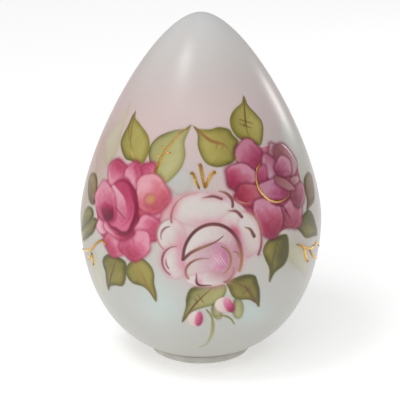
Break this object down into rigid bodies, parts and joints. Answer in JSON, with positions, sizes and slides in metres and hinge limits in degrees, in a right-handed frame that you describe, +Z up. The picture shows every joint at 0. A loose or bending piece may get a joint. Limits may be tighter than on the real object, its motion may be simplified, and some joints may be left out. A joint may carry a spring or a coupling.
{
  "type": "hand-painted porcelain egg",
  "caption": "Hollow glazed porcelain egg on a low foot ring, painted with sprays of roses, leaves and buds in raised enamel and touched with raised gold.",
  "frame": {"origin": "centre of the circle on which the foot ring rests, on the table", "axes": "+Z up the egg's axis to its crown; -Y towards the middle of the painted front; +X to the viewer's right"},
  "size_m": [0.089, 0.0896, 0.127],
  "materials": {
    "porcelain": "glazed porcelain, gloss",
    "pink_rose_enamel": "fired overglaze enamel, gloss",
    "cream_rose_enamel": "fired overglaze enamel, gloss",
    "leaf_enamel": "fired overglaze enamel, gloss",
    "gold": "burnished gold paste"
  },
  "bodies": {
    "root": {"bud_back": "pink_rose_enamel", "bud_left": "pink_rose_enamel", "bud_right": "pink_rose_enamel", "egg_body": "porcelain", "foot_ring": "porcelain", "gold_edge_rose_right": "gold", "gold_sprig_centre": "gold", "gold_sprig_left": "gold", "gold_sprig_right": "gold", "gold_vein_leaf": "gold", "leaf_back_high_left": "leaf_enamel", "leaf_back_high_right": "leaf_enamel", "leaf_back_low_left": "leaf_enamel", "leaf_back_low_right": "leaf_enamel", "leaf_bud_left": "leaf_enamel", "leaf_bud_right": "leaf_enamel", "leaf_left_gilded": "leaf_enamel", "leaf_left_low_inner": "leaf_enamel", "leaf_left_low_outer": "leaf_enamel", "leaf_left_tall": "leaf_enamel", "leaf_right_inner": "leaf_enamel", "leaf_right_low": "leaf_enamel", "leaf_right_tall": "leaf_enamel", "leaf_side_left_high": "leaf_enamel", "leaf_side_left_low": "leaf_enamel", "leaf_side_left_middle": "leaf_enamel", "leaf_side_right_high": "leaf_enamel", "leaf_side_right_low": "leaf_enamel", "rose_back": "pink_rose_enamel", "rose_centre": "cream_rose_enamel", "rose_left": "pink_rose_enamel", "rose_right": "pink_rose_enamel", "tendril_long": "leaf_enamel", "tendril_short": "leaf_enamel"}
  },
  "joints": []
}
